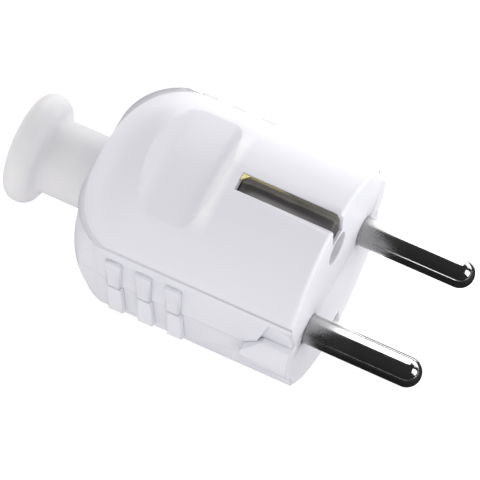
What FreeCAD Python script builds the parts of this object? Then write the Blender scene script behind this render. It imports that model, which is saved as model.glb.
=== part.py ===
import FreeCAD, Part
import Sketcher
import os
import re

# Rewirable type F plug in its hybrid form: two round contact pins, sprung earth
# contacts above and below, and a hole for the earth pin of the other socket system.
# X runs out along the pins from the engagement face, Y across them, Z up.

V = FreeCAD.Vector
doc = FreeCAD.newDocument("type_f_plug")
dims = doc.addObject("Spreadsheet::Sheet", "dims")

SIZES = (
    # contact arrangement, fixed by the plug system
    ("pin_dia", 4.8, "contact pin diameter"),
    ("pin_reach", 19, "pin length in front of the face"),
    ("pin_pitch", 19, "distance between the pin axes"),
    ("pin_relief", 0.4, "how much thinner the pin's waist is behind the face"),
    ("pin_ring", 0.15, "gap round a pin in the ring sunk into the face"),
    ("pin_ring_deep", 0.5, "depth of that ring"),
    ("earth_hole_dia", 5.5, "hole for the socket's earth pin"),
    ("earth_hole_z", 10, "height of that hole above the pin plane"),
    # housing outside
    ("body_rad", 18.1, "radius of the round body"),
    ("barrel_len", 29, "length of the straight body"),
    ("land_drop", 0.19, "depth of the flat lands along the earth slots, on which the plug lies"),
    ("land_z", "=body_rad - land_drop", "height of those lands over the pin plane"),
    ("dome_len", 11.3, "length of the domed back"),
    ("dome_cap", 0.2, "flat left in the middle of the dome's curve"),
    ("flat_half", 16, "half width over the side flats at the joint"),
    ("flat_top_half", 15.5, "half width where the side band ends"),
    ("band_half", 9.1, "height of the side band above and below the joint"),
    ("band_step", 0.3, "ledge between side band and round body"),
    ("band_tail", 11, "side band behind the straight body"),
    ("band_back", "=barrel_len + band_tail", "back end of the side band"),
    ("band_corner", 10, "plan radius of the band's back corners"),
    ("rim_round", 0.8, "rounding of the front rim"),
    # housing inside
    ("wall", 2, "wall of the round body"),
    ("front_wall", 3.2, "thickness of the front wall"),
    ("side_wall", 2.4, "thickness of the side walls"),
    ("bulkhead_set", 6.4, "that wall behind the straight body"),
    ("bulkhead_x", "=barrel_len + bulkhead_set", "front of the wall before the sleeve collar"),
    ("bulkhead_thick", 1.5, "thickness of that wall"),
    ("seat_thick", 2, "thickness of the carrier seats"),
    ("seat_x", 9, "back of the carrier seats"),
    ("seat_gap_half", 5, "half gap in the seats for the earth parts"),
    ("stop_thick", 1.6, "thickness of the stops behind the pin heads"),
    ("stop_top", 1.8, "stop top below the pin plane, clear of the conductor"),
    # earth slots
    ("slot_half", 1.6, "half width of an earth slot"),
    ("slot_back", 16.7, "back end of an earth slot"),
    ("slot_floor", 13.3, "floor of the slot in the front wall"),
    # finger dishes
    ("dish_front", 19, "crest of a dish's front edge"),
    ("dish_slope", 1.9, "length of the slope behind the crest"),
    ("dish_fall", 1.55, "depth at the foot of that slope"),
    ("dish_mid", 28.3, "back end of a dish's floor"),
    ("dish_depth", 1.6, "depth of a dish there"),
    ("dish_back", 31.9, "end of the rise at the back of a dish"),
    ("dish_rise", 0.1, "height of that rise over the body"),
    ("dish_crest", 2.2, "rounding of the crest"),
    ("dish_foot", 1.6, "rounding at the foot of the slope"),
    ("dish_bed", 4, "rounding at the back of the floor"),
    ("dish_drop", 30, "offset of the axis the dish is swept about"),
    ("dish_lift", -0.05, "crest of the sweep over the round body"),
    # grip ribs
    ("rib_front", 18.6, "front edge of the first rib"),
    ("rib_width", 2.6, "width of a rib"),
    ("rib_pitch", 5.1, "pitch of the ribs"),
    ("rib_proud", 0.5, "height of a rib over the flat"),
    ("rib_root", 1.2, "depth of a rib's root in the wall"),
    ("rib_up", 6.9, "rib length on the short side"),
    ("rib_down", 7.7, "rib length on the long side"),
    ("rib_shift", 0.2, "how far the long ribs stand out more"),
    ("rib_lead", 0.3, "how far the long ribs lie further front"),
    ("rib_round", 0.4, "rounding of a rib"),
    # side lugs near the front
    ("lug_back", 7.8, "back of a lug at the joint"),
    ("lug_step", 4.7, "back of the lug's raised part"),
    ("lug_top", 2.8, "top of a lug above the joint"),
    ("lug_tail", 8.6, "back corner of a lug"),
    ("lug_tail_z", 3.6, "depth of that corner under the joint"),
    ("lug_foot_x", 5, "start of the lug's lower edge"),
    ("lug_foot", 7.6, "lower edge of a lug under the joint"),
    ("lug_reach", 17.5, "half width over the lugs"),
    ("lug_curve", 7, "curve of a lug's outer face"),
    ("lug_mid", 1.6, "fullest line of a lug under the joint"),
    ("lug_gap", 0.12, "joint gap round a lug"),
    ("recess_top", 7.7, "top of the side recess"),
    ("recess_top_x", 4, "back of the side recess at its top"),
    ("recess_low_x", 5.9, "back of the side recess at its foot"),
    ("recess_depth", 0.6, "depth of the side recess"),
    # cord bend sleeve
    ("neck_dia", 12.2, "neck of the bend sleeve"),
    ("neck_gap", 0.1, "clearance of the neck in the housing"),
    ("lip_rise", 2.9, "lip over the neck"),
    ("lip_set", 20.2, "front of the lip behind the straight body"),
    ("lip_len", 4.9, "length of the lip"),
    ("lip_share", 0.47, "rounding of the lip over its length"),
    ("lip_dia", "=neck_dia + 2 * lip_rise", "rounded lip of the sleeve"),
    ("lip_front", "=barrel_len + lip_set", "front of the lip"),
    ("lip_back", "=lip_front + lip_len", "back end of the sleeve"),
    ("lip_round", "=lip_len * lip_share", "rounding of the lip"),
    ("collar_dia", 16, "inner collar of the sleeve"),
    ("collar_thick", 1.8, "thickness of the collar"),
    ("cord_bore", 8.4, "bore for the cord"),
    ("cord_room", 0.5, "room round the cord inside the housing"),
    ("bore_set", 0.5, "start of the close bore behind the housing"),
    ("bore_start", "=barrel_len + dome_len + bore_set", "start of the close bore"),
    ("mouth_round", 1.2, "rounding of the bore's mouth"),
    # contact carrier
    ("carrier_back", 13.2, "back face of the carrier"),
    ("carrier_half", 13.3, "half width of the carrier"),
    ("carrier_low", 6.5, "carrier under the pin plane"),
    ("carrier_top", 7, "carrier above the pin plane"),
    ("saddle_half", 4.2, "half width of the socket saddle"),
    ("saddle_top", 9.5, "top of the socket saddle"),
    ("boss_half", 3.8, "half width of the boss behind the carrier"),
    ("pin_fit", 0.05, "clearance of a pin in the carrier"),
    # pin heads
    ("head_len", 9.2, "length of a pin's terminal head"),
    ("head_half", 3.2, "half width of a head"),
    ("head_up", 4, "head above the pin axis"),
    ("wire_dia", 2.8, "conductor hole in a head"),
    ("wire_depth", 7, "depth of the conductor hole"),
    ("clamp_at", 5, "clamping screw from the head's back"),
    ("clamp_dia", 3, "clamping screw"),
    ("clamp_head_dia", 5, "head of the clamping screw"),
    ("clamp_head", 1.8, "height of that head"),
    ("clamp_tip", 1.5, "screw tip above the pin axis"),
    # earth strap and its parts
    ("strap_thick", 0.7, "sheet of the earth strap"),
    ("strap_half", 1.4, "half width of a spring arm"),
    ("arm_z", 16.2, "outer face of a spring arm"),
    ("arm_front", 1.3, "start of the arm's curl at the front"),
    ("curl_x", 0.4, "front end of the curl"),
    ("curl_z", 15.2, "height of the curl's end"),
    ("arm_back", 15.6, "back end of the straight arm"),
    ("heel_x", 17.1, "heel of the arm"),
    ("heel_z", 15.4, "height of the heel"),
    ("web_x", 18.4, "back face of the strap's web"),
    ("web_z", 14.2, "height of the web's end"),
    ("web_half", 3.6, "half width of the web's middle"),
    ("flange_front", 0.7, "front end of the arm's edge flanges"),
    ("flange_up", 1.6, "height of the arm's edge flanges"),
    ("flange_thick", 0.4, "thickness of those flanges"),
    ("web_in", 0.28, "inner bend at the web"),
    ("heel_in", 0.28, "inner bend at the heel"),
    ("back_in", 0.1, "inner bend at the back of the arm"),
    ("front_in", 0.28, "inner bend at the front of the arm"),
    ("curl_in", 0.5, "inner end of the curl"),
    ("tab_back", 25.3, "back end of the terminal tab"),
    ("tab_half", 2.8, "half width of the tab"),
    ("socket_dia", 6.1, "earth pin socket outside"),
    ("socket_bore", 4.9, "earth pin socket bore"),
    ("socket_deep", 13, "depth of the bore"),
    ("spigot_dia", 4, "swaged end of the socket in the web"),
    ("flare_dia", 5.4, "flare of the swaged end"),
    ("flare_thick", 0.5, "thickness of the flare"),
    ("plate_half", 2.8, "half width of the earth clamping plate"),
    ("plate_thick", 1, "thickness of that plate"),
    ("earth_screw_x", 22.4, "place of the earth screw"),
    ("earth_screw_dia", 3.5, "earth screw"),
    ("earth_screw_head", 5.8, "head of the earth screw"),
    ("earth_screw_head_h", 2.2, "height of that head"),
    ("earth_screw_end", 4, "end of the earth screw under the tab"),
    # cord clamp
    ("grip_set", 1.3, "cord clamp before the end of the straight body"),
    ("grip_x", "=barrel_len - grip_set", "middle of the cord clamp"),
    ("grip_half", 2.2, "half width of the clamp bar"),
    ("grip_y", 9, "clamp screws from the middle"),
    ("grip_end", 12, "half length of the clamp bar"),
    ("grip_seat", 1.2, "seat of the clamp bar above the joint"),
    ("grip_top", 6.2, "top of the clamp bar"),
    ("post_rad", 2.5, "radius of a clamp post"),
    ("grip_bore", 8, "cord groove of the clamp"),
    ("cradle_half", 0.8, "half thickness of the cord cradle"),
    ("cradle_top", 1.5, "cradle top under the joint"),
    ("grip_screw", 3, "clamp screw"),
    ("grip_screw_head", 4.8, "head of a clamp screw"),
    ("grip_screw_head_h", 2, "height of that head"),
    ("grip_screw_end", 6, "screw end under the joint"),
    # housing screws
    ("close_set", 5.1, "housing screws behind the straight body"),
    ("close_x", "=barrel_len + close_set", "housing screws behind the face"),
    ("close_y", 10.2, "housing screws from the middle"),
    ("close_boss", 3.6, "radius of a screw boss"),
    ("close_dia", 3, "housing screw"),
    ("close_fit", 0.15, "clearance of a housing screw"),
    ("close_head", 5.6, "head of a housing screw"),
    ("close_head_h", 2.2, "height of that head"),
    ("close_seat", 8.6, "seat of the screw heads under the joint"),
    ("close_sink", 6.2, "counterbore for a head"),
    ("close_end", 6.6, "screw end above the joint"),
    ("nut_width", 5.5, "width of a square nut"),
    ("nut_thick", 2.2, "thickness of a nut"),
    ("nut_z", 3, "underside of a nut above the joint"),
    ("driver_wide", 0.8, "screwdriver slot width"),
    ("driver_deep", 0.9, "screwdriver slot depth"),
    # room used only to overshoot a cut
    ("over", 30, "overshoot of cutting shapes"),
    ("past", 1, "short overshoot"),
)
for row, (alias, value, note) in enumerate(SIZES, 1):
    dims.set("A%d" % row, note)
    dims.setAlias("B%d" % row, alias)
    dims.set("B%d" % row, str(value))
doc.recompute()
NAMES = {alias for alias, value, note in SIZES}


def formula(text):
    return re.sub(r"[a-z]\w*", lambda m: "dims." + m.group() if m.group() in NAMES else m.group(), text)


def bind(obj, **sizes):
    for path, text in sizes.items():
        obj.setExpression(path.replace("__", "."), formula(text))
    return obj


def box(name, x, y, z):
    obj = doc.addObject("Part::Box", name)
    return bind(obj, Length="(%s) - (%s)" % (x[1], x[0]), Width="(%s) - (%s)" % (y[1], y[0]),
                Height="(%s) - (%s)" % (z[1], z[0]),
                Placement__Base__x=x[0], Placement__Base__y=y[0], Placement__Base__z=z[0])


AXES = {"x": V(1, 0, 0), "y": V(0, 1, 0), "z": V(0, 0, 1)}


def place(obj, axis, at):
    obj.Placement = FreeCAD.Placement(V(0, 0, 0), FreeCAD.Rotation(V(0, 0, 1), AXES[axis]))
    return bind(obj, Placement__Base__x=at[0], Placement__Base__y=at[1], Placement__Base__z=at[2])


def rod(name, axis, radius, start, end, across):
    obj = bind(doc.addObject("Part::Cylinder", name), Radius=radius, Height="(%s) - (%s)" % (end, start))
    at = {"x": (start,) + across, "y": (across[0], start, across[1]), "z": across + (start,)}[axis]
    return place(obj, axis, at)


def fuse(name, *shapes):
    obj = doc.addObject("Part::MultiFuse", name)
    obj.Shapes = list(shapes)
    return obj


def shared(name, *shapes):
    obj = doc.addObject("Part::MultiCommon", name)
    obj.Shapes = list(shapes)
    return obj


def cut(name, base, *tools):
    obj = doc.addObject("Part::Cut", name)
    obj.Base = base
    obj.Tool = tools[0] if len(tools) == 1 else fuse(name + "_tools", *tools)
    return obj


def mirrored(name, source, normal):
    obj = doc.addObject("Part::Mirroring", name)
    obj.Source = source
    obj.Normal = normal
    return obj


def outline(body, role, points):
    sketch = body.newObject("Sketcher::SketchObject", body.Name + "_outline")
    plane = [f for f in body.Origin.OriginFeatures if f.Role == role][0]
    sketch.AttachmentSupport = [(plane, "")]
    sketch.MapMode = "FlatFace"
    count = len(points)
    for i in range(count):
        sketch.addGeometry(Part.LineSegment(V(i, i * i, 0), V(i + 1, (i + 1) ** 2, 0)), False)
    for i in range(count):
        sketch.addConstraint(Sketcher.Constraint("Coincident", i, 2, (i + 1) % count, 1))
    for i, (across, up) in enumerate(points):
        for kind, text in (("DistanceX", across), ("DistanceY", up)):
            index = sketch.addConstraint(Sketcher.Constraint(kind, -1, 1, i, 1, 1.0))
            sketch.setExpression("Constraints[%d]" % index, formula(text))
    doc.recompute()
    return sketch


def padded(name, role, points, half):
    body = doc.addObject("PartDesign::Body", name)
    pad = body.newObject("PartDesign::Pad", name + "_pad")
    pad.Profile = outline(body, role, points)
    pad.Midplane = True
    bind(pad, Length="2 * (%s)" % half)
    doc.recompute()
    return body


def turned(name, points):
    body = doc.addObject("PartDesign::Body", name)
    turn = body.newObject("PartDesign::Revolution", name + "_turn")
    turn.Profile = outline(body, "XZ_Plane", points)
    axis = [f for f in body.Origin.OriginFeatures if f.Role == "X_Axis"][0]
    turn.ReferenceAxis = (axis, [""])
    turn.Angle = 360
    body.Placement = FreeCAD.Placement(V(0, 0, 0), FreeCAD.Rotation(V(1, 0, 0), 90))
    doc.recompute()
    return body


def rounded(body, radius, pick):
    base = body.Tip
    edges = ["Edge%d" % i for i, e in enumerate(base.Shape.Edges, 1) if pick(e)]
    fillet = body.newObject("PartDesign::Fillet", base.Name + "_round")
    fillet.Base = (base, edges)
    bind(fillet, Radius=radius)
    doc.recompute()
    return body


def value(alias):
    return float(dims.get(alias))


def near(a, b):
    return abs(a - b) < 1e-4


# Outer form: a round barrel with a domed back, trimmed at the sides, and a flat
# side band with a little draft that stands out along both flanks.
def domed(name, front, back, radius, curve):
    body = turned(name, ((front, "0"), (front, radius), (back, radius), (back, "0")))
    end = body.Shape.BoundBox.XMin
    return rounded(body, curve, lambda e: near(e.BoundBox.XMin, end) and near(e.BoundBox.XMax, end))


barrel = domed("barrel", "0", "-barrel_len - dome_len", "body_rad", "dome_len - dome_cap")
rounded(barrel, "rim_round", lambda e: near(e.BoundBox.XMin, 0) and near(e.BoundBox.XMax, 0))
trim = box("trim", ("-over * 2", "over"), ("-(flat_top_half - band_step)", "flat_top_half - band_step"),
           ("-land_z", "land_z"))
round_body = shared("round_body", barrel, trim)

section = padded("band_section", "YZ_Plane",
                 (("flat_half", "0"), ("flat_top_half", "band_half"), ("-flat_top_half", "band_half"),
                  ("-flat_half", "0"), ("-flat_top_half", "-band_half"), ("flat_top_half", "-band_half")),
                 "over * 2")
plan = padded("band_plan", "XY_Plane",
              (("0", "flat_half"), ("0", "-flat_half"), ("-band_back", "-flat_half"),
               ("-band_back", "flat_half")),
              "over")
rounded(plan, "band_corner",
        lambda e: near(e.BoundBox.XLength + e.BoundBox.YLength, 0) and near(e.BoundBox.XMin,
                                                                            -value("band_back")))
rounded(plan, "rim_round",
        lambda e: near(e.BoundBox.XLength + e.BoundBox.YLength, 0) and near(e.BoundBox.XMin, 0))
band = shared("band", section, plan)
outer = fuse("outer_form", round_body, band)

# Inner space, and the walls moulded across it: the bulkhead that holds the sleeve's
# collar, the seats over and under the carrier, the pin stops and the screw bosses.
hollow_barrel = domed("hollow_barrel", "-front_wall", "-barrel_len - dome_len + wall", "body_rad - wall",
                      "dome_len - dome_cap - wall")
hollow_trim = box("hollow_trim", ("-over * 2", "-front_wall"),
                  ("-(flat_half - side_wall)", "flat_half - side_wall"),
                  ("-over", "over"))
hollow = shared("hollow", hollow_barrel, hollow_trim)

walls = [rod("bulkhead", "x", "body_rad", "-bulkhead_x - bulkhead_thick", "-bulkhead_x", ("0", "0"))]
for side, sign in (("left", ""), ("right", "-")):
    inner, far = "%sseat_gap_half" % sign, "%sflat_half" % sign
    span = (inner, far) if not sign else (far, inner)
    walls.append(box("low_seat_" + side, ("-seat_x", "-seat_x + seat_thick"), span,
                     ("-body_rad", "-carrier_low")))
    walls.append(box("top_seat_" + side, ("-seat_x", "-seat_x + seat_thick"), span,
                     ("carrier_top", "body_rad")))
    pin_y = "%spin_pitch / 2" % sign
    walls.append(box("pin_stop_" + side,
                     ("-carrier_back - head_len - stop_thick", "-carrier_back - head_len"),
                     (pin_y + " - head_half", pin_y + " + head_half"), ("-body_rad", "-stop_top")))
    walls.append(rod("close_boss_" + side, "z", "close_boss", "-body_rad", "body_rad",
                     ("-close_x", "%sclose_y" % sign)))
inner_walls = shared("inner_walls", fuse("wall_set", *walls), outer)
housing = fuse("housing", cut("housing_shell", outer, hollow), inner_walls)

# Cuts through both halves: earth slots, finger dishes, pin holes, sleeve seat.
slot_top = box("slot_top", ("-slot_back", "over"), ("-slot_half", "slot_half"), ("slot_floor", "over"))
crest = "dish_drop + body_rad + dish_lift"
dish = turned("dish", (
    ("-dish_front + dish_crest * 2", crest), ("-dish_front", crest),
    ("-dish_front - dish_slope", "dish_drop + body_rad - dish_fall"),
    ("-dish_mid", "dish_drop + body_rad - dish_depth"),
    ("-dish_back", "dish_drop + body_rad + dish_rise"), ("-dish_back", "dish_drop + over"),
    ("-dish_front + dish_crest * 2", "dish_drop + over")))
for size, at in (("dish_crest", "dish_front"), ("dish_foot", "dish_slope"), ("dish_bed", "dish_mid")):
    along = value(at) + (value("dish_front") if at == "dish_slope" else 0)
    rounded(dish, size, lambda e: near(e.BoundBox.XMin, -along) and near(e.BoundBox.XMax, -along))
bind(dish, Placement__Base__z="-dish_drop")
dish_top = shared("dish_top", dish, box("dish_limit", ("-over * 2", "0"), ("-over", "over"), ("0", "over")))
cuts = [slot_top, mirrored("slot_low", slot_top, V(0, 0, 1)), dish_top,
        mirrored("dish_low", dish_top, V(0, 0, 1)),
        rod("sleeve_hole", "x", "neck_dia / 2 + neck_gap", "-over * 2", "-bulkhead_x - bulkhead_thick",
            ("0", "0")),
        rod("collar_room", "x", "collar_dia / 2 + neck_gap",
            "-bulkhead_x - bulkhead_thick - collar_thick", "-bulkhead_x - bulkhead_thick", ("0", "0")),
        rod("cord_way", "x", "cord_bore / 2 + cord_room", "-bulkhead_x - bulkhead_thick - past",
            "-bulkhead_x + past", ("0", "0"))]
for side, sign in (("left", ""), ("right", "-")):
    cuts.append(rod("pin_hole_" + side, "x", "pin_dia / 2 - pin_relief / 2 + pin_fit", "-front_wall - past",
                    "over",
                    ("%spin_pitch / 2" % sign, "0")))
    cuts.append(rod("pin_ring_" + side, "x", "pin_dia / 2 + pin_ring", "-pin_ring_deep", "over",
                    ("%spin_pitch / 2" % sign, "0")))
    cuts.append(rod("close_hole_" + side, "z", "close_dia / 2 + close_fit", "-over", "close_end + close_fit",
                    ("-close_x", "%sclose_y" % sign)))
common_cuts = fuse("common_cuts", *cuts)


def ribs(half, sign, z, proud, lead):
    made = []
    for i in range(3):
        name = "rib_%s_%d" % (half, i + 1)
        body = doc.addObject("PartDesign::Body", name)
        block = body.newObject("PartDesign::AdditiveBox", name + "_block")
        face = "flat_half + " + proud
        root = "flat_half - rib_root"
        bind(block, Length="rib_width", Width="(%s) - (%s)" % (face, root),
             Height="(%s) - (%s)" % (z[1], z[0]),
             Placement__Base__x="-rib_front - rib_width - %d * rib_pitch + %s" % (i, lead),
             Placement__Base__y=root if sign > 0 else "-(%s)" % face, Placement__Base__z=z[0])
        doc.recompute()
        outside = block.Shape.BoundBox.YMax if sign > 0 else block.Shape.BoundBox.YMin
        rounded(body, "rib_round", lambda e: near(e.BoundBox.YMin, outside) and near(e.BoundBox.YMax, outside)
                and not (near(e.BoundBox.ZMin, 0) and near(e.BoundBox.ZMax, 0)))
        made.append(body)
    return made


# The halves interlock as if turned about the pin axis: where one has short ribs and a
# recess, the other has long ribs and a lug.
# Side lug near the front: a cushion-shaped block that reaches over the joint into a notch
# of the other half, with a shallow recess beyond it.
lug_points = (("-lug_back", "0"), ("-lug_step", "lug_top"), ("0", "lug_top"), ("0", "-lug_foot"),
              ("-lug_foot_x", "-lug_foot"), ("-lug_tail", "-lug_tail_z"))
lug_block = padded("lug_block", "XZ_Plane", lug_points, "over")
lug_side = box("lug_side", ("-over", "0"), ("flat_half - side_wall", "over"), ("-over", "over"))
lug_cushion = rod("lug_cushion", "x", "lug_curve", "-over", "over", ("lug_reach - lug_curve", "-lug_mid"))
lug_left = shared("lug_left", lug_block, lug_side, lug_cushion)

notch_points = (("-lug_back - lug_gap * 2", "-lug_gap"), ("-lug_step - lug_gap", "lug_top + lug_gap"),
                ("over", "lug_top + lug_gap"), ("over", "-lug_gap"))
notch_block = padded("notch_block", "XZ_Plane", notch_points, "over")
notch_left = shared("notch_left", notch_block, box("notch_side", ("-over", "over"),
                    ("flat_half - side_wall", "over"), ("-over", "over")))
recess_points = (("-recess_top_x", "recess_top"), ("over", "recess_top"), ("over", "lug_top"),
                 ("-lug_step", "lug_top"), ("-recess_low_x", "lug_top / 2"))
recess_block = padded("recess_block", "XZ_Plane", recess_points, "over")
recess_left = shared("recess_left", recess_block, box("recess_side", ("-over", "over"),
                     ("flat_top_half - recess_depth + band_step", "over"), ("-over", "over")))

# Upper half, with the earth pin hole and the side pockets for the nuts.
top_room = box("top_room", ("-over * 2", "over"), ("-over", "over"), ("0", "over"))
nut_pockets = []
for side, sign in (("left", ""), ("right", "-")):
    nut_y = "%sclose_y" % sign
    nut_pockets.append(box("nut_pocket_" + side, ("-close_x - nut_width / 2", "-close_x + close_boss"),
                           (nut_y + " - nut_width / 2", nut_y + " + nut_width / 2"),
                           ("nut_z", "nut_z + nut_thick")))
upper_ribs = ribs("up_near", -1, ("0", "rib_up"), "rib_proud", "0")
upper_ribs += ribs("up_far", 1, ("0", "rib_down"), "rib_proud + rib_shift", "rib_lead")
upper_raw = fuse("upper_raw", shared("upper_half", housing, top_room),
                 mirrored("lug_up", lug_left, V(0, 0, 1)), *upper_ribs)
upper_shell = cut("upper_shell", upper_raw, common_cuts,
                  rod("earth_hole", "x", "earth_hole_dia / 2", "-front_wall - past", "over",
                      ("0", "earth_hole_z")),
                  mirrored("notch_up", notch_left, V(0, 1, 0)),
                  mirrored("recess_up", recess_left, V(0, 1, 0)), *nut_pockets)

# Lower half, with the lugs, the cord cradle, the clamp posts and the screw sinks.
posts = [box("cradle", ("-grip_x - cradle_half", "-grip_x + cradle_half"), ("-flat_half", "flat_half"),
             ("-body_rad", "-cradle_top"))]
sinks = [rod("cradle_way", "x", "grip_bore / 2", "-grip_x - cradle_half - past",
             "-grip_x + cradle_half + past", ("0", "0"))]
for side, sign in (("left", ""), ("right", "-")):
    posts.append(rod("post_" + side, "z", "post_rad", "-body_rad", "grip_seat",
                     ("-grip_x", "%sgrip_y" % sign)))
    sinks.append(rod("grip_hole_" + side, "z", "grip_screw / 2", "-grip_screw_end", "over",
                     ("-grip_x", "%sgrip_y" % sign)))
    sinks.append(rod("close_sink_" + side, "z", "close_sink / 2", "-over", "-close_seat",
                     ("-close_x", "%sclose_y" % sign)))
lower_ribs = ribs("low_near", -1, ("-rib_down", "0"), "rib_proud + rib_shift", "rib_lead")
lower_ribs += ribs("low_far", 1, ("-rib_up", "0"), "rib_proud", "0")
lower_raw = fuse("lower_raw", cut("lower_half", housing, top_room),
                 shared("post_set", fuse("posts", *posts), outer),
                 mirrored("lug_low", lug_left, V(0, 1, 0)), *lower_ribs)
lower_shell = cut("lower_shell", lower_raw, common_cuts, mirrored("notch_low", notch_left, V(0, 0, 1)),
                  mirrored("recess_low", recess_left, V(0, 0, 1)), *sinks)

# Cord bend sleeve: a soft moulded tube with a collar inside the housing and a rounded lip.
collar_x = "-bulkhead_x - bulkhead_thick"
bend_sleeve = turned("bend_sleeve", (
    (collar_x, "cord_bore / 2 + cord_room"), (collar_x, "collar_dia / 2"),
    (collar_x + " - collar_thick", "collar_dia / 2"),
    (collar_x + " - collar_thick", "neck_dia / 2"), ("-lip_front", "neck_dia / 2"),
    ("-lip_front", "lip_dia / 2"),
    ("-lip_back", "lip_dia / 2"), ("-lip_back", "cord_bore / 2"), ("-bore_start", "cord_bore / 2"),
    ("-bore_start", "cord_bore / 2 + cord_room")))
rounded(bend_sleeve, "lip_round", lambda e: near(e.BoundBox.XLength, 0) and near(e.BoundBox.YMax,
                                                                                 value("lip_dia") / 2))
rounded(bend_sleeve, "mouth_round", lambda e: near(e.BoundBox.XLength, 0)
        and (near(e.BoundBox.YMax, value("cord_bore") / 2) and near(e.BoundBox.XMin, -value("lip_back"))
             or near(e.BoundBox.YMax, value("neck_dia") / 2) and near(e.BoundBox.XMin, -value("lip_front"))))

# Contact carrier: one insulating block against the inside of the front wall.
carrier_cuts = [rod("socket_saddle", "x", "socket_dia / 2", "-over", "over", ("0", "earth_hole_z"))]
for side, sign in (("left", ""), ("right", "-")):
    carrier_cuts.append(rod("carrier_hole_" + side, "x", "pin_dia / 2 - pin_relief / 2 + pin_fit", "-over",
                            "over",
                            ("%spin_pitch / 2" % sign, "0")))
contact_carrier = cut("contact_carrier", fuse(
    "carrier_block",
    box("carrier_body", ("-carrier_back", "-front_wall"), ("-carrier_half", "carrier_half"),
        ("-carrier_low", "carrier_top")),
    box("carrier_boss", ("-web_x + strap_thick", "-carrier_back"), ("-boss_half", "boss_half"),
        ("-carrier_low", "carrier_top")),
    box("carrier_saddle", ("-web_x + strap_thick", "-front_wall"), ("-saddle_half", "saddle_half"),
        ("carrier_top", "saddle_top"))), *carrier_cuts)


# Contact pins: round pin with a domed nose, and a square head with the conductor hole.
def pin(name, sign):
    y = "%spin_pitch / 2" % sign
    shank = rod(name + "_shank", "x", "pin_dia / 2 - pin_relief / 2", "-carrier_back", "0", (y, "0"))
    reach = rod(name + "_reach", "x", "pin_dia / 2", "0", "pin_reach - pin_dia / 2", (y, "0"))
    nose = place(bind(doc.addObject("Part::Sphere", name + "_nose"), Radius="pin_dia / 2"), "x",
                 ("pin_reach - pin_dia / 2", y, "0"))
    head = box(name + "_head", ("-carrier_back - head_len", "-carrier_back"),
               (y + " - head_half", y + " + head_half"),
               ("-head_half", "head_up"))
    return cut(name, fuse(name + "_blank", shank, reach, nose, head),
               rod(name + "_wire", "x", "wire_dia / 2", "-carrier_back - head_len - past",
                   "-carrier_back - head_len + wire_depth", (y, "0")),
               rod(name + "_thread", "z", "clamp_dia / 2", "0", "over",
                   ("-carrier_back - head_len + clamp_at", y)))


line_pin = pin("line_pin", "")
neutral_pin = pin("neutral_pin", "-")


# Slotted cheese-head screw standing on its seat, head at the far end of the axis.
def screw(name, at, shank, low, seat, head, top):
    turned_blank = fuse(name + "_blank", rod(name + "_shank", "z", shank + " / 2", low, seat, at),
                        rod(name + "_head", "z", head + " / 2", seat, top, at))
    driver = box(name + "_driver", ("%s - driver_wide / 2" % at[0], "%s + driver_wide / 2" % at[0]),
                 ("%s - %s" % (at[1], head), "%s + %s" % (at[1], head)),
                 (top + " - driver_deep", top + " + driver_deep"))
    return cut(name, turned_blank, driver)


clamp_x = "-carrier_back - head_len + clamp_at"
pin_terminal_screws = fuse("pin_terminal_screws", *[
    screw("clamp_screw_" + side, (clamp_x, "%spin_pitch / 2" % sign), "clamp_dia", "clamp_tip", "head_up",
          "clamp_head_dia", "head_up + clamp_head") for side, sign in (("left", ""), ("right", "-"))])

# Earth strap: one bent U of sheet brass. Its arms lie in the slots, its web stands
# behind the carrier and carries the terminal tab.
upper_path = (("-curl_x", "curl_z"), ("-arm_front", "arm_z"), ("-arm_back", "arm_z"), ("-heel_x", "heel_z"),
              ("-web_x", "web_z"))
inner_path = (("-web_x + strap_thick", "web_z - web_in"), ("-heel_x + heel_in", "heel_z - strap_thick"),
              ("-arm_back + back_in", "arm_z - strap_thick"),
              ("-arm_front - front_in", "arm_z - strap_thick"),
              ("-curl_x - curl_in", "curl_z - curl_in"))
lower_path = tuple((x, "-(%s)" % z) for x, z in reversed(upper_path))
lower_inner = tuple((x, "-(%s)" % z) for x, z in reversed(inner_path))
strap_u = padded("strap_u", "XZ_Plane", upper_path + lower_path + lower_inner + inner_path, "strap_half")
strap_parts = [strap_u,
               box("strap_web", ("-web_x", "-web_x + strap_thick"), ("-web_half", "web_half"),
                   ("-carrier_low", "earth_hole_z + web_half")),
               box("strap_tab", ("-tab_back", "-web_x + strap_thick"), ("-tab_half", "tab_half"),
                   ("-strap_thick", "0"))]
for side, span in (("left", ("strap_half - flange_thick", "strap_half")),
                   ("right", ("-strap_half", "-strap_half + flange_thick"))):
    flange = box("flange_" + side, ("-arm_back", "-flange_front"), span,
                 ("arm_z - strap_thick", "arm_z + flange_up"))
    strap_parts += [flange, mirrored("flange_low_" + side, flange, V(0, 0, 1))]
earth_strap = cut("earth_strap", fuse("strap_blank", *strap_parts),
                  rod("swage_hole", "x", "spigot_dia / 2", "-over", "-web_x + past", ("0", "earth_hole_z")),
                  rod("earth_thread", "z", "earth_screw_dia / 2", "-strap_thick * 2", "strap_thick",
                      ("-earth_screw_x", "0")))

# Earth pin socket: turned sleeve whose end is swaged into the web.
socket_turn = fuse(
    "socket_turn",
    rod("socket_tube", "x", "socket_dia / 2", "-web_x + strap_thick", "-front_wall", ("0", "earth_hole_z")),
    rod("socket_spigot", "x", "spigot_dia / 2", "-web_x", "-web_x + strap_thick", ("0", "earth_hole_z")),
    rod("socket_flare", "x", "flare_dia / 2", "-web_x - flare_thick", "-web_x", ("0", "earth_hole_z")))
earth_pin_socket = cut("earth_pin_socket", socket_turn, rod(
    "socket_way", "x", "socket_bore / 2", "-front_wall - socket_deep", "over", ("0", "earth_hole_z")))

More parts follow.
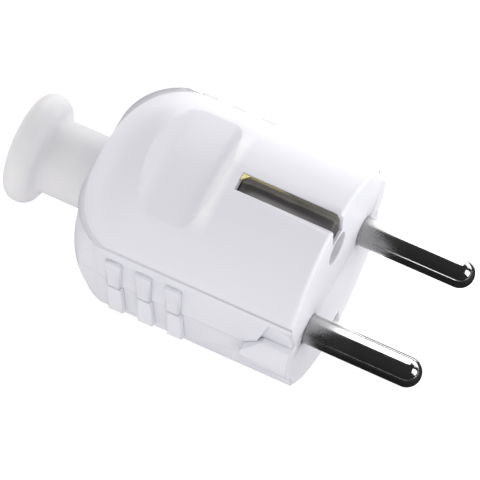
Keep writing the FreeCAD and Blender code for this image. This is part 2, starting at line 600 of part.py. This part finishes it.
earth_clamp_plate = cut("earth_clamp_plate", box(
    "plate_blank", ("-earth_screw_x - plate_half", "-earth_screw_x + plate_half"),
    ("-plate_half", "plate_half"),
    ("0", "plate_thick")), rod("plate_hole", "z", "earth_screw_dia / 2", "-over", "over",
                               ("-earth_screw_x", "0")))
earth_terminal_screw = screw("earth_terminal_screw", ("-earth_screw_x", "0"), "earth_screw_dia",
                             "-earth_screw_end",
                             "plate_thick", "earth_screw_head", "plate_thick + earth_screw_head_h")

# Cord clamp: a saddle bar on two posts, with a screw at each end.
grip_cuts = [rod("grip_way", "x", "grip_bore / 2", "-over * 2", "over", ("0", "0"))]
grip_screws = []
for side, sign in (("left", ""), ("right", "-")):
    at = ("-grip_x", "%sgrip_y" % sign)
    grip_cuts.append(rod("bar_hole_" + side, "z", "grip_screw / 2", "-over", "over", at))
    grip_screws.append(screw("grip_screw_" + side, at, "grip_screw", "-grip_screw_end", "grip_top",
                             "grip_screw_head", "grip_top + grip_screw_head_h"))
cord_clamp_bar = cut("cord_clamp_bar", box(
    "bar_blank", ("-grip_x - grip_half", "-grip_x + grip_half"), ("-grip_end", "grip_end"),
    ("grip_seat", "grip_top")), *grip_cuts)
cord_clamp_screws = fuse("cord_clamp_screws", *grip_screws)

# Housing screws from below, each drawn into a square nut in the upper half.
close_screws = []
close_nuts = []
for side, sign in (("left", ""), ("right", "-")):
    at = ("-close_x", "%sclose_y" % sign)
    close_screws.append(cut(
        "close_screw_" + side,
        fuse("close_blank_" + side, rod("close_shank_" + side, "z", "close_dia / 2", "-close_seat",
                                        "close_end", at),
             rod("close_head_" + side, "z", "close_head / 2", "-close_seat - close_head_h", "-close_seat",
                 at)),
        box("close_driver_" + side, ("-close_x - driver_wide / 2", "-close_x + driver_wide / 2"),
            ("%s - close_head" % at[1], "%s + close_head" % at[1]),
            ("-close_seat - close_head_h * 2", "-close_seat - close_head_h + driver_deep"))))
    close_nuts.append(cut(
        "close_nut_" + side,
        box("nut_blank_" + side, ("-close_x - nut_width / 2", "-close_x + nut_width / 2"),
            (at[1] + " - nut_width / 2", at[1] + " + nut_width / 2"), ("nut_z", "nut_z + nut_thick")),
        rod("nut_hole_" + side, "z", "close_dia / 2", "-over", "over", at)))
housing_screws = fuse("housing_screws", *close_screws)
housing_nuts = fuse("housing_nuts", *close_nuts)

doc.recompute()
PIECES = (upper_shell, lower_shell, bend_sleeve, contact_carrier, line_pin, neutral_pin, pin_terminal_screws,
          earth_strap, earth_pin_socket, earth_clamp_plate, earth_terminal_screw, cord_clamp_bar,
          cord_clamp_screws,
          housing_screws, housing_nuts)
for obj in doc.Objects:
    if "Invalid" in obj.State or "Error" in obj.State:
        raise RuntimeError("%s: %s" % (obj.Label, obj.State))
os.makedirs("parts", exist_ok=True)
for piece in PIECES:
    if piece.Shape.isNull() or not piece.Shape.isValid():
        raise RuntimeError("bad shape: " + piece.Label)
    piece.Shape.exportStep("parts/%s.step" % piece.Label)
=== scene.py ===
import bmesh
import bpy
from mathutils import Matrix, Vector


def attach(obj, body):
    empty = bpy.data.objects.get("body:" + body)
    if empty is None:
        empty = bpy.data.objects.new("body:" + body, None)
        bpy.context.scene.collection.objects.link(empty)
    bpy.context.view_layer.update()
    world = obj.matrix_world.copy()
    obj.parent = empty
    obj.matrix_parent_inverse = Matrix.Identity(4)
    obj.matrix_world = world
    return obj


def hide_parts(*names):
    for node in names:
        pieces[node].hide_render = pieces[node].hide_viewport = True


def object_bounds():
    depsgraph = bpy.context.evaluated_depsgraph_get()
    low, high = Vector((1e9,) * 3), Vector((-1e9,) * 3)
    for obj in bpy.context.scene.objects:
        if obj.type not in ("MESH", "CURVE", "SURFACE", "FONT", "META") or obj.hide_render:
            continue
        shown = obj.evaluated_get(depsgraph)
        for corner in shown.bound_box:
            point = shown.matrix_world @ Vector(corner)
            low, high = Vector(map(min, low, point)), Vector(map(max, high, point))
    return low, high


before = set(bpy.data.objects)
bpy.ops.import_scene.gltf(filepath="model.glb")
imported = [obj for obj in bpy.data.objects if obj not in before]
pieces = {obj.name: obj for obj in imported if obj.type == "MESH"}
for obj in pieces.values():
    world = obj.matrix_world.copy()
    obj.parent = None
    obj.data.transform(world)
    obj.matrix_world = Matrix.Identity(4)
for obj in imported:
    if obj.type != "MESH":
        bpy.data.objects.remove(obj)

cad_low, cad_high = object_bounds()


# Contact carrier and cord clamp bar: pressed from grey urea powder, matt and finely speckled. The
# carrier stands against the front wall and keeps both pins and the earth parts at their spacing.
def finish(name, colour, roughness):
    made = bpy.data.materials.new(name)
    made.use_nodes = True
    shader = made.node_tree.nodes["Principled BSDF"]
    shader.inputs["Base Color"].default_value = (*colour, 1)
    shader.inputs["Roughness"].default_value = roughness
    return made, made.node_tree, shader


def step(tree, kind, sockets, **settings):
    made = tree.nodes.new(kind)
    for key, setting in settings.items():
        setattr(made, key, setting)
    for key, given in sockets.items():
        if isinstance(given, bpy.types.NodeSocket):
            tree.links.new(given, made.inputs[key])
        else:
            made.inputs[key].default_value = given
    return made


def grain(tree, size, detail, stretch=(1, 1, 1)):
    place = step(tree, "ShaderNodeTexCoord", {}).outputs["Object"]
    turned = step(tree, "ShaderNodeMapping", {"Vector": place, "Scale": stretch}).outputs["Vector"]
    noise = step(tree, "ShaderNodeTexNoise", {"Vector": turned, "Scale": 1 / size, "Detail": detail})
    return noise.outputs["Fac"]


def ranged(tree, share, start, end, low, high, **settings):
    return step(tree, "ShaderNodeMapRange", {"Value": share, "From Min": start, "From Max": end,
                                             "To Min": low, "To Max": high}, **settings).outputs["Result"]


noise_low, noise_high = 0.3, 0.7


def between(tree, share, low, high):
    return ranged(tree, share, noise_low, noise_high, low, high)


def tones(tree, share, dark, light):
    ramp = step(tree, "ShaderNodeValToRGB", {"Fac": share})
    ramp.color_ramp.elements[0].position = noise_low
    ramp.color_ramp.elements[0].color = (*dark, 1)
    ramp.color_ramp.elements[1].position = noise_high
    ramp.color_ramp.elements[1].color = (*light, 1)
    return ramp.outputs["Color"]


def relief(tree, shader, height, depth, strength, edge):
    soft = step(tree, "ShaderNodeBevel", {"Radius": edge}, samples=6).outputs["Normal"]
    bump = step(tree, "ShaderNodeBump", {"Height": height, "Distance": depth, "Strength": strength,
                                         "Normal": soft})
    tree.links.new(bump.outputs["Normal"], shader.inputs["Normal"])


urea, tree, shader = finish("grey_urea", (0.48, 0.48, 0.46), 0.5)
specks = grain(tree, 0.0004, 4)
tree.links.new(tones(tree, specks, (0.43, 0.43, 0.41), (0.52, 0.52, 0.5)), shader.inputs["Base Color"])
tree.links.new(between(tree, specks, 0.42, 0.6), shader.inputs["Roughness"])
relief(tree, shader, specks, 0.00003, 0.3, 0.00015)
for name in ("contact_carrier", "cord_clamp_bar"):
    pieces[name].material_slots[0].material = urea


# Contact pins: turned from solid brass rod with a domed nose, nickel plated and polished, with fine
# rings from the lathe under the plating. Near the face the plating is rougher and its colour darker.
def position(tree, axis):
    place = step(tree, "ShaderNodeTexCoord", {}).outputs["Object"]
    return step(tree, "ShaderNodeSeparateXYZ", {"Vector": place}).outputs[axis]


def reckon(tree, operation, *terms):
    return step(tree, "ShaderNodeMath", dict(enumerate(terms)), operation=operation).outputs[0]


nickel, tree, shader = finish("polished_nickel", (0.7, 0.695, 0.69), 0.08)
shader.inputs["Metallic"].default_value = 1
rings = grain(tree, 0.0011, 3, (14, 1, 1))
pits = grain(tree, 0.00016, 2)
haze = grain(tree, 0.003, 3)
dull_to, bright_from = 0.001, 0.009
along = position(tree, "X")
speckled = reckon(tree, "ADD", between(tree, rings, 0.0, 0.03), between(tree, pits, 0.04, 0.12))
dulled = ranged(tree, along, dull_to, bright_from, 0.2, 0.0, interpolation_type="SMOOTHSTEP")
tree.links.new(reckon(tree, "ADD", speckled, dulled), shader.inputs["Roughness"])
# The colour runs from darker at the face to lighter towards the nose, with random haze.
tone_from_face = ranged(tree, along, dull_to, bright_from, 0.1, 1.0, interpolation_type="SMOOTHSTEP")
tone_from_face = reckon(tree, "MULTIPLY", tone_from_face, between(tree, haze, 0.8, 1.0))
tree.links.new(tones(tree, tone_from_face, (0.42, 0.415, 0.41), (0.7, 0.695, 0.69)), shader.inputs["Base Color"])
relief(tree, shader, reckon(tree, "ADD", rings, pits), 0.0000015, 0.3, 0.00008)
for name in ("line_pin", "neutral_pin"):
    pieces[name].material_slots[0].material = nickel


# Terminal and housing screws, clamp plate and nuts: cold headed and pressed steel, zinc plated
# in the barrel, so the surface is even, slightly blue and dull.
zinc, tree, shader = finish("zinc_plate", (0.55, 0.56, 0.57), 0.34)
shader.inputs["Metallic"].default_value = 1
bloom = grain(tree, 0.0012, 4)
tree.links.new(tones(tree, bloom, (0.47, 0.48, 0.5), (0.6, 0.61, 0.62)), shader.inputs["Base Color"])
tree.links.new(between(tree, bloom, 0.27, 0.44), shader.inputs["Roughness"])
relief(tree, shader, bloom, 0.00001, 0.3, 0.00012)
for name in ("pin_terminal_screws", "earth_clamp_plate", "earth_terminal_screw", "cord_clamp_screws",
             "housing_screws", "housing_nuts"):
    pieces[name].material_slots[0].material = zinc


# Earth pin socket: turned from bare brass, with its thin end swaged into the strap.
brass, tree, shader = finish("bare_brass", (0.72, 0.53, 0.24), 0.26)
shader.inputs["Metallic"].default_value = 1
tarnish = grain(tree, 0.0015, 4, (4, 1, 1))
tree.links.new(tones(tree, tarnish, (0.6, 0.43, 0.19), (0.78, 0.6, 0.3)), shader.inputs["Base Color"])
tree.links.new(between(tree, tarnish, 0.2, 0.36), shader.inputs["Roughness"])
relief(tree, shader, tarnish, 0.000008, 0.3, 0.0001)
pieces["earth_pin_socket"].material_slots[0].material = brass


# Earth strap: one U bent from brass sheet that was plated dull nickel first, so the sheared edges
# show bare brass. Each arm is a channel in its slot, with a tall wing on one side.
plated, tree, shader = finish("plated_sheet", (0.42, 0.41, 0.4), 0.34)
shader.inputs["Metallic"].default_value = 0.72
rolled = grain(tree, 0.0009, 3, (0.25, 4, 4))
# Painted shade and painted light: the base colour is dark along the middle of the bed, down in the slot, and
# lighter towards the sides and the wing. Random mottle is added on top.
off_middle = reckon(tree, "ABSOLUTE", position(tree, "Y"))
lit_sides = ranged(tree, off_middle, 0.0005, 0.0015, 0.0, 1.0)
lit_sides_and_mottle = reckon(tree, "ADD", lit_sides, between(tree, grain(tree, 0.003, 3), -0.12, 0.12))
tree.links.new(tones(tree, lit_sides_and_mottle, (0.21, 0.2, 0.205), (0.54, 0.52, 0.47)), shader.inputs["Base Color"])
tree.links.new(between(tree, rolled, 0.3, 0.44), shader.inputs["Roughness"])
relief(tree, shader, rolled, 0.000004, 0.3, 0.0001)
sheared, tree, shader = finish("sheared_brass", (0.74, 0.66, 0.3), 0.45)
shader.inputs["Metallic"].default_value = 1
tears = grain(tree, 0.0003, 3, (0.3, 1, 1))
brass_to, grey_from = -0.0115, -0.0075
greyed = ranged(tree, position(tree, "X"), brass_to, grey_from, 0.0, 1.0)
tree.links.new(tones(tree, greyed, (0.8, 0.72, 0.36), (0.36, 0.34, 0.3)), shader.inputs["Base Color"])
tree.links.new(between(tree, tears, 0.38, 0.55), shader.inputs["Roughness"])
relief(tree, shader, tears, 0.000006, 0.4, 0.00005)
gauge = 0.0003
near_enough = gauge / 10
joined = 0.000001
crisp = 0.5
lip, bed, wing = 0.0165, 0.01605, 0.01775
half_way = 0.00138
# along the arm: place, drop of the bed, drop of the wing
stations = ((-0.0004, 0.0018, 0.0016), (-0.0006, 0.0008, 0.0009), (-0.0009, 0.0003, 0.0001), (-0.0015, 0, 0),
            (-0.0153, 0, 0), (-0.01664, 0.0004, 0))
fold = 0.0011


def shape(name, form, *skins):
    mesh = bpy.data.meshes.new(name)
    form.to_mesh(mesh)
    form.free()
    for skin in skins:
        mesh.materials.append(skin)
    made = bpy.data.objects.new(name, mesh)
    bpy.context.scene.collection.objects.link(made)
    return made


def settle(made):
    settled = made.evaluated_get(bpy.context.evaluated_depsgraph_get())
    made.data = bpy.data.meshes.new_from_object(settled)
    made.modifiers.clear()


def everything(form):
    return form.verts[:] + form.edges[:] + form.faces[:]


def strap_piece(name, form):
    made = shape(name, form, plated, sheared)
    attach(made, "root")
    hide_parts("earth_strap")
    return made


form = bmesh.new()
form.from_mesh(pieces["earth_strap"].data)
bmesh.ops.remove_doubles(form, verts=form.verts, dist=joined)
bmesh.ops.bisect_plane(form, geom=everything(form), plane_co=(stations[-1][0] + gauge, 0, 0),
                       plane_no=(1, 0, 0), clear_outer=True)
bmesh.ops.holes_fill(form, edges=[edge for edge in form.edges if edge.is_boundary])
strap_piece("strap_back", form)

for name, up in (("strap_arm_upper", 1), ("strap_arm_lower", -1)):
    form = bmesh.new()
    corners = [form.verts.new((stations[0][0], across, height)) for across, height in (
        (-half_way, lip), (-half_way, bed), (half_way, bed), (half_way, wing))]
    for pair in zip(corners, corners[1:]):
        form.edges.new(pair)
    bmesh.ops.bevel(form, geom=corners[1:3], offset=gauge, segments=4, profile=0.5, affect="VERTICES",
                    material=-1)
    front = form.edges[:]
    for place, _, _ in stations[1:]:
        grown = bmesh.ops.extrude_edge_only(form, edges=front)["geom"]
        ring = [one for one in grown if isinstance(one, bmesh.types.BMVert)]
        front = [one for one in grown if isinstance(one, bmesh.types.BMEdge) and set(one.verts) <= set(ring)]
        for point in ring:
            point.co.x = place
    for place, bed_drop, wing_drop in stations:
        for point in form.verts:
            if abs(point.co.x - place) < near_enough:
                share = (point.co.z - bed) / (wing - bed)
                point.co.z -= bed_drop + (wing_drop - bed_drop) * share
    crown = [max((one for one in form.verts if abs(one.co.x - place) < near_enough), key=lambda one: one.co.z)
             for place, _, _ in stations[-2:]]
    turned_in = form.verts.new(crown[1].co - Vector((0, fold, 0)))
    form.faces.new((*crown, turned_in)).material_index = 1
    bmesh.ops.scale(form, verts=form.verts, vec=(1, 1, up))
    bmesh.ops.recalc_face_normals(form, faces=form.faces)
    for face in form.faces:
        face.smooth = True
    arm = strap_piece(name, form)
    wall = arm.modifiers.new("wall", "SOLIDIFY")
    wall.thickness = gauge
    wall.offset = 0
    wall.material_offset_rim = 1
    settle(arm)
    arm.data.set_sharp_from_angle(angle=crisp)


# Cord bend sleeve: moulded from soft grey white vinyl, with a ring seam where the tool parts.
# Its collar is held between the two halves of the housing.
vinyl, tree, shader = finish("soft_vinyl", (0.76, 0.754, 0.77), 0.5)
shader.inputs["Subsurface Weight"].default_value = 0.12
shader.inputs["Subsurface Scale"].default_value = 0.001
skin = grain(tree, 0.0006, 3)
handled = grain(tree, 0.006, 2)
vinyl_tone = tones(tree, handled, (0.745, 0.738, 0.757), (0.775, 0.768, 0.787))
tree.links.new(vinyl_tone, shader.inputs["Base Color"])
tree.links.new(between(tree, skin, 0.42, 0.58), shader.inputs["Roughness"])
seam_back, seam_half = 0.0435, 0.00012
off_seam = reckon(tree, "ABSOLUTE", reckon(tree, "ADD", position(tree, "X"), seam_back))
skin = reckon(tree, "ADD", skin, ranged(tree, off_seam, 0.0, seam_half, 3.0, 0.0))
relief(tree, shader, skin, 0.00002, 0.4, 0.0003)
pieces["bend_sleeve"].material_slots[0].material = vinyl


# Housing halves: injection moulded from white thermoplastic with a fine satin skin. Each has a finger
# dish with a flat sweep and straight ends. The crest in front of each dish carries a painted highlight.
satin, tree, shader = finish("satin_white", (0.765, 0.763, 0.815), 0.4)
spark = grain(tree, 0.00022, 3)
gloss = grain(tree, 0.009, 3)
# Painted highlight: along the crest of each dish the base colour turns lighter, with a little random tone
# from the gloss noise added.
crest_back = 0.0192
past_crest = reckon(tree, "ABSOLUTE", reckon(tree, "ADD", position(tree, "X"), crest_back))
crest_highlight_and_tone = ranged(tree, past_crest, 0.0003, 0.0018, 1.0, 0.0, interpolation_type="SMOOTHSTEP")
on_crest = ranged(tree, reckon(tree, "ABSOLUTE", position(tree, "Z")), 0.0152, 0.0168, 0.0, 1.0)
crest_highlight_and_tone = reckon(tree, "MULTIPLY", crest_highlight_and_tone, on_crest)
crest_highlight_and_tone = reckon(tree, "ADD", crest_highlight_and_tone, between(tree, gloss, 0.0, 0.06))
crest_highlight_colour = step(tree, "ShaderNodeValToRGB", {"Fac": crest_highlight_and_tone})
crest_highlight_colour.color_ramp.elements[0].color = (0.758, 0.756, 0.808, 1)
crest_highlight_colour.color_ramp.elements[1].color = (0.88, 0.88, 0.91, 1)
tree.links.new(crest_highlight_colour.outputs["Color"], shader.inputs["Base Color"])
tree.links.new(between(tree, gloss, 0.34, 0.46), shader.inputs["Roughness"])
relief(tree, shader, spark, 0.00001, 0.25, 0.0003)

dish_pivot = Vector((0, 0, -0.0187))
dish_half_sweep = 0.5
sweep_steps = 60
above_dish, crest_lead = 0.0197, 0.002
crest, foot = (-0.019, 0.01805), (-0.0209, 0.01652)
floor_back, rise_back = (-0.0283, 0.01648), (-0.0319, 0.0182)
floor_round = 0.001


def dish_cutter(up):
    form = bmesh.new()
    outline = [form.verts.new((along, 0, height)) for along, height in (
        (crest[0] + crest_lead, above_dish), crest, foot, floor_back, rise_back, (rise_back[0], above_dish))]
    for pair in zip(outline, outline[1:] + outline[:1]):
        form.edges.new(pair)
    bmesh.ops.bevel(form, geom=outline[2:4], offset=floor_round, segments=6, profile=0.5, affect="VERTICES",
                    material=-1)
    bmesh.ops.rotate(form, verts=form.verts, cent=dish_pivot,
                     matrix=Matrix.Rotation(-dish_half_sweep, 3, "X"))
    bmesh.ops.spin(form, geom=form.edges[:], cent=dish_pivot, axis=(1, 0, 0), angle=2 * dish_half_sweep,
                   steps=sweep_steps)
    bmesh.ops.holes_fill(form, edges=[edge for edge in form.edges if edge.is_boundary])
    bmesh.ops.scale(form, verts=form.verts, vec=(1, 1, up))
    bmesh.ops.recalc_face_normals(form, faces=form.faces)
    return shape("dish_cutter", form)


for node, name, up in (("upper_shell", "upper_half", 1), ("lower_shell", "lower_half", -1)):
    form = bmesh.new()
    form.from_mesh(pieces[node].data)
    bmesh.ops.remove_doubles(form, verts=form.verts, dist=joined)
    half = shape(name, form)
    cutter = dish_cutter(up)
    carve = half.modifiers.new("dish", "BOOLEAN")
    carve.operation = "DIFFERENCE"
    carve.solver = "EXACT"
    carve.object = cutter
    settle(half)
    bpy.data.objects.remove(cutter)
    form = bmesh.new()
    form.from_mesh(half.data)
    bmesh.ops.remove_doubles(form, verts=form.verts, dist=2 * joined)
    bmesh.ops.dissolve_degenerate(form, edges=form.edges, dist=2 * joined)
    for face in form.faces:
        face.smooth = True
        face.material_index = 0
    form.to_mesh(half.data)
    form.free()
    half.data.set_sharp_from_angle(angle=crisp)
    half.data.materials.clear()
    half.data.materials.append(satin)
    even = half.modifiers.new("even_shading", "WEIGHTED_NORMAL")
    even.keep_sharp = True
    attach(half, "root")
    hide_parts(node)


# Stage: a pale light table, glowing more strongly on the far side, under a soft tent of light that is
# brighter behind the sleeve and on the near side. One soft lamp stands in front and one on the far side.
table_skin, tree, shader = finish("pale_table", (0.35, 0.35, 0.35), 0.9)
tree.links.new(tones(tree, grain(tree, 0.02, 2), (0.345, 0.345, 0.345), (0.355, 0.355, 0.355)),
               shader.inputs["Base Color"])
place = step(tree, "ShaderNodeTexCoord", {}).outputs["Object"]
far_off = step(tree, "ShaderNodeVectorMath", {0: place, 1: (0.5, 0.87, 0)}, operation="DOT_PRODUCT")
glow = ranged(tree, far_off.outputs["Value"], 0.005, 0.085, 0.75, 2.5)
shader.inputs["Emission Color"].default_value = (1, 1, 1, 1)
tree.links.new(glow, shader.inputs["Emission Strength"])


def stage_piece(name, form, skin):
    made = shape(name, form, skin)
    return made


table_half, table_gap = 2.0, 0.00002
form = bmesh.new()
bmesh.ops.create_grid(form, x_segments=1, y_segments=1, size=table_half)
bmesh.ops.translate(form, verts=form.verts, vec=(0, 0, cad_low.z - table_gap))
stage_piece("table", form, table_skin)

tent = bpy.data.worlds.new("white_tent")
tent.use_nodes = True
tree = tent.node_tree
outward = step(tree, "ShaderNodeTexCoord", {}).outputs["Generated"]
lean = step(tree, "ShaderNodeVectorMath", {0: outward, 1: (-0.17, -0.32, -0.24)}, operation="DOT_PRODUCT")
light = reckon(tree, "ADD", lean.outputs["Value"], 0.945)
tree.nodes["Background"].inputs["Color"].default_value = (1, 1, 1, 1)
tree.links.new(light, tree.nodes["Background"].inputs["Strength"])
bpy.context.scene.world = tent

target = Vector((-0.01557, -0.00183, 0.00282))
front_side, far_side = Vector((1.0, 0.15, 0.5)), Vector((0.5, 1.0, 0.25))
lamp_reach = 0.6


def facing(side, reach):
    aim = side.to_track_quat("Z", "Y").to_matrix().to_4x4()
    return Matrix.Translation(target + side.normalized() * reach) @ aim


for name, side, width, power in (("front_lamp", front_side, 0.3, 0.8), ("far_lamp", far_side, 0.4, 0.55)):
    light = bpy.data.lights.new(name, "AREA")
    light.size = width
    light.energy = power
    lamp = bpy.data.objects.new(name, light)
    lamp.matrix_world = facing(side, lamp_reach)
    bpy.context.scene.collection.objects.link(lamp)


# Cards round the part: a dark dome and dark sheets give the polished metal its black core, and white
# cards give the noses their light spot and the pins their white band. Only mirrored light meets them.
def mirror_card(name, form, skin):
    card = stage_piece(name, form, skin)
    card.visible_camera = False
    card.visible_diffuse = False
    card.visible_shadow = False


black, tree, shader = finish("dark_card", (0.003, 0.003, 0.003), 0.9)
dome_axis = Vector((0.35, -0.85, 0.4)).normalized()
dome_radius, dome_mouth = 0.9, -0.256
form = bmesh.new()
bmesh.ops.create_icosphere(form, subdivisions=4, radius=dome_radius)
bmesh.ops.bisect_plane(form, geom=everything(form), plane_co=dome_axis * dome_mouth, plane_no=dome_axis,
                       clear_inner=True)
bmesh.ops.translate(form, verts=form.verts, vec=target)
mirror_card("dark_dome", form, black)
sheet_half = 0.25
form = bmesh.new()
for along, across, lift in ((0.05, -0.253, 0.0003), (0.2515, -0.22, 0.0002), (0.275, 0.28, 0.0001)):
    bmesh.ops.create_grid(form, x_segments=1, y_segments=1, size=sheet_half, matrix=Matrix.Translation(
        (along, across, cad_low.z + lift)))
mirror_card("dark_sheet", form, black)
white, tree, shader = finish("white_card", (0.8, 0.8, 0.8), 0.9)
shader.inputs["Emission Color"].default_value = (1, 1, 1, 1)
shader.inputs["Emission Strength"].default_value = 1.6
form = bmesh.new()
for side, reach, width, slim in ((front_side, 0.5, 0.16, 0.8), (Vector((-0.24, 1.0, 0.5)), 0.55, 0.34, 0.5)):
    bmesh.ops.create_grid(form, x_segments=1, y_segments=1, size=width,
                          matrix=facing(side, reach) @ Matrix.Diagonal((slim, 1, 1, 1)))
mirror_card("white_cards", form, white)


# Camera: above the near side, a little in front, far off with a long lens.
# White is kept as white.
view = bpy.data.cameras.new("camera")
view.sensor_width = 36
view.lens = 341.2
view.clip_start = 0.05
view.clip_end = 20
camera = bpy.data.objects.new("camera", view)
camera_reach = 0.7
back = Vector((0.2095, -0.4201, 0.8829))
up = Vector((-0.394, 0.790, 0.469))
right = up.cross(back).normalized()
up = back.cross(right).normalized()
camera.matrix_world = Matrix.Translation(target + back.normalized() * camera_reach) @ Matrix(
    (right, up, back.normalized())).transposed().to_4x4()
bpy.context.scene.collection.objects.link(camera)
bpy.context.scene.camera = camera
bpy.context.scene.view_settings.view_transform = "Standard"
